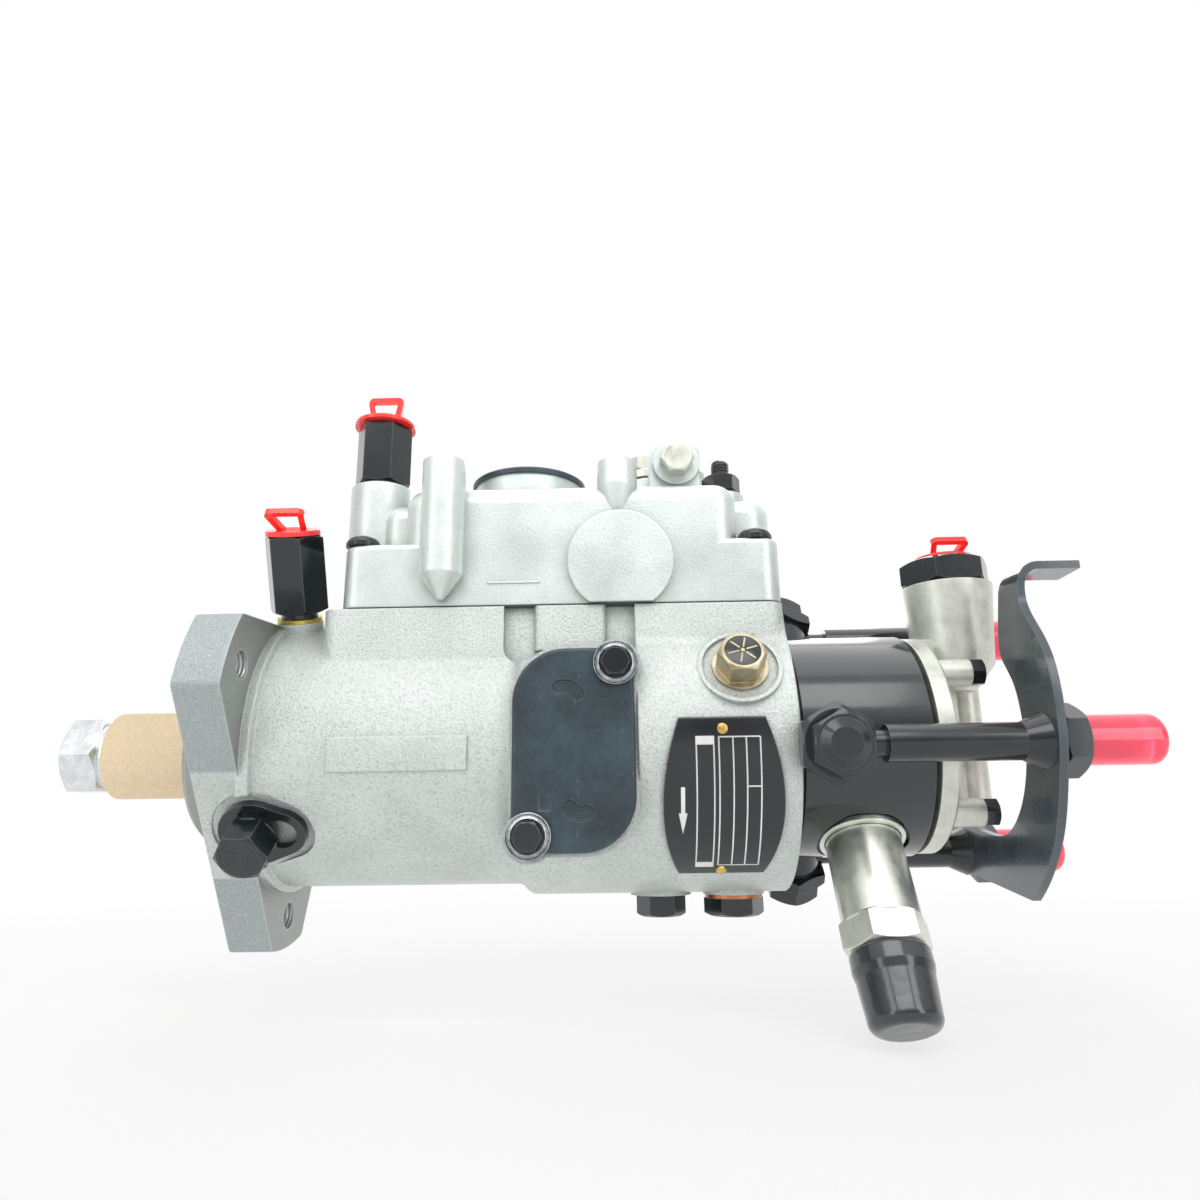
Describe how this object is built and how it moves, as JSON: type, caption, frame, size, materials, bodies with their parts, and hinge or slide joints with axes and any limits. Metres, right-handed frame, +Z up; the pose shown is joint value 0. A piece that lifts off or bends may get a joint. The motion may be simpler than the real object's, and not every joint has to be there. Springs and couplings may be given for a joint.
{
  "type": "rotary fuel injection pump",
  "caption": "Rotary distributor diesel injection pump with a three-lobed flange, mechanical governor under a cast cover, capped outlets on a bracket, a throttle lever and a stop solenoid.",
  "frame": {"origin": "on the drive axis, in the plane of the flange's mounting face", "axes": "+X along the drive axis from the drive end to the outlets, +Z up through the governor cover, +Y away from the nameplate side"},
  "size_m": [0.348, 0.1206, 0.2123],
  "materials": {
    "cast_housing": "blasted casting",
    "cast_cover": "fine casting",
    "machined_plate": "satin machined",
    "black_satin": "satin black",
    "black_gloss": "gloss black",
    "black_plate": "satin black",
    "zinc": "zinc plated",
    "bright_zinc": "bright zinc",
    "yellow_zinc": "yellow passivated",
    "dark_steel": "phosphated black",
    "ground_steel": "ground",
    "copper": "copper washer",
    "red_plug": "red moulding",
    "red_cap": "translucent red moulding",
    "rubber": "moulded rubber",
    "cardboard": "plain tube",
    "gasket": "gasket board"
  },
  "bodies": {
    "pump": {"pump_housing": "cast_housing", "governor_cover": "cast_cover", "end_plate": "machined_plate", "inspection_cover": "black_satin", "outlet_bracket": "black_satin", "cover_cap": "black_satin", "hydraulic_head": "black_gloss", "nameplate": "black_plate", "lug_bolt": "zinc", "stop_solenoid": "zinc", "control_bracket": "zinc", "head_locking_screws": "yellow_zinc", "leak_off_fitting": "dark_steel", "vent_fitting": "dark_steel", "inlet_adaptor": "dark_steel", "cover_screws": "dark_steel", "inspection_screws": "dark_steel", "idle_stud": "dark_steel", "cam_screw_plug": "dark_steel", "locating_fitting": "dark_steel", "outlet_bolts": "dark_steel", "outlet_pipes": "dark_steel", "outlet_nuts": "dark_steel", "end_plate_screws": "dark_steel", "lock_spacer": "dark_steel", "shaft_lock_screw": "dark_steel", "cam_ring": "ground_steel", "transfer_liner": "ground_steel", "sealing_washers": "copper", "transit_plugs": "red_plug", "outlet_caps": "red_cap", "solenoid_boot": "rubber", "oil_seals": "rubber", "gaskets": "gasket"},
    "drive_train": {"drive_shaft": "ground_steel", "shaft_key": "ground_steel", "shaft_nut": "bright_zinc", "shaft_sleeve": "cardboard", "weight_retainer": "ground_steel", "drive_plates": "ground_steel", "rotor": "ground_steel", "plungers": "ground_steel", "roller_shoes": "ground_steel", "transfer_rotor": "ground_steel", "transfer_blades": "ground_steel"},
    "flyweight_1": {"flyweight_1": "ground_steel"},
    "flyweight_2": {"flyweight_2": "ground_steel"},
    "flyweight_3": {"flyweight_3": "ground_steel"},
    "flyweight_4": {"flyweight_4": "ground_steel"},
    "thrust_sleeve": {"thrust_sleeve": "ground_steel"},
    "governor_arm": {"governor_arm": "zinc", "governor_spring": "ground_steel"},
    "linkage": {"linkage_rod": "zinc"},
    "metering_valve": {"metering_valve": "ground_steel"},
    "throttle": {"throttle_shaft": "zinc", "throttle_lever": "zinc", "throttle_nut": "zinc"},
    "regulating_piston": {"regulating_piston": "ground_steel"},
    "solenoid_plunger": {"solenoid_plunger": "ground_steel"}
  },
  "joints": [
    {"name": "drive_spin", "type": "hinge", "parent": "pump", "child": "drive_train", "pos_m": [0, 0, 0], "axis": [1, 0, 0], "continuous": true},
    {"name": "weight_swing_1", "type": "hinge", "parent": "drive_train", "child": "flyweight_1", "pos_m": [0.084, 0.01662, 0.01662], "axis": [0, 0.7071, -0.7071], "range_deg": [0, 15]},
    {"name": "weight_swing_2", "type": "hinge", "parent": "drive_train", "child": "flyweight_2", "pos_m": [0.084, -0.01662, 0.01662], "axis": [0, 0.7071, 0.7071], "range_deg": [0, 15]},
    {"name": "weight_swing_3", "type": "hinge", "parent": "drive_train", "child": "flyweight_3", "pos_m": [0.084, -0.01662, -0.01662], "axis": [0, -0.7071, 0.7071], "range_deg": [0, 15]},
    {"name": "weight_swing_4", "type": "hinge", "parent": "drive_train", "child": "flyweight_4", "pos_m": [0.084, 0.01662, -0.01662], "axis": [0, -0.7071, -0.7071], "range_deg": [0, 15]},
    {"name": "sleeve_slide", "type": "slide", "parent": "drive_train", "child": "thrust_sleeve", "axis": [-1, 0, 0], "range_m": [0, 0.0024]},
    {"name": "arm_pivot", "type": "hinge", "parent": "pump", "child": "governor_arm", "pos_m": [0.04725, 0, 0.032], "axis": [0, 1, 0], "range_deg": [0, 4.2]},
    {"name": "linkage_slide", "type": "slide", "parent": "pump", "child": "linkage", "axis": [1, 0, 0], "range_m": [0, 0.0017]},
    {"name": "metering_turn", "type": "hinge", "parent": "pump", "child": "metering_valve", "pos_m": [0.131, 0, 0.03], "axis": [0, 0, 1], "range_deg": [-11.5, 0]},
    {"name": "throttle_turn", "type": "hinge", "parent": "pump", "child": "throttle", "pos_m": [0.1395, 0.005, 0.1018], "axis": [0, 0, 1], "range_deg": [0, 55]},
    {"name": "piston_slide", "type": "slide", "parent": "pump", "child": "regulating_piston", "axis": [0, 0, 1], "range_m": [0, 0.005]},
    {"name": "solenoid_slide", "type": "slide", "parent": "pump", "child": "solenoid_plunger", "axis": [0, -0.5, -0.866], "range_m": [0, 0.0015]}
  ],
  "couplings": [
    {"joint": "weight_swing_2", "follows": "weight_swing_1", "ratio": 1},
    {"joint": "weight_swing_3", "follows": "weight_swing_1", "ratio": 1},
    {"joint": "weight_swing_4", "follows": "weight_swing_1", "ratio": 1},
    {"joint": "sleeve_slide", "follows": "weight_swing_1", "m_per_rad": 0.0083},
    {"joint": "arm_pivot", "follows": "weight_swing_1", "ratio": 0.2594},
    {"joint": "linkage_slide", "follows": "weight_swing_1", "m_per_rad": 0.0057},
    {"joint": "metering_turn", "follows": "weight_swing_1", "ratio": -0.7135}
  ]
}
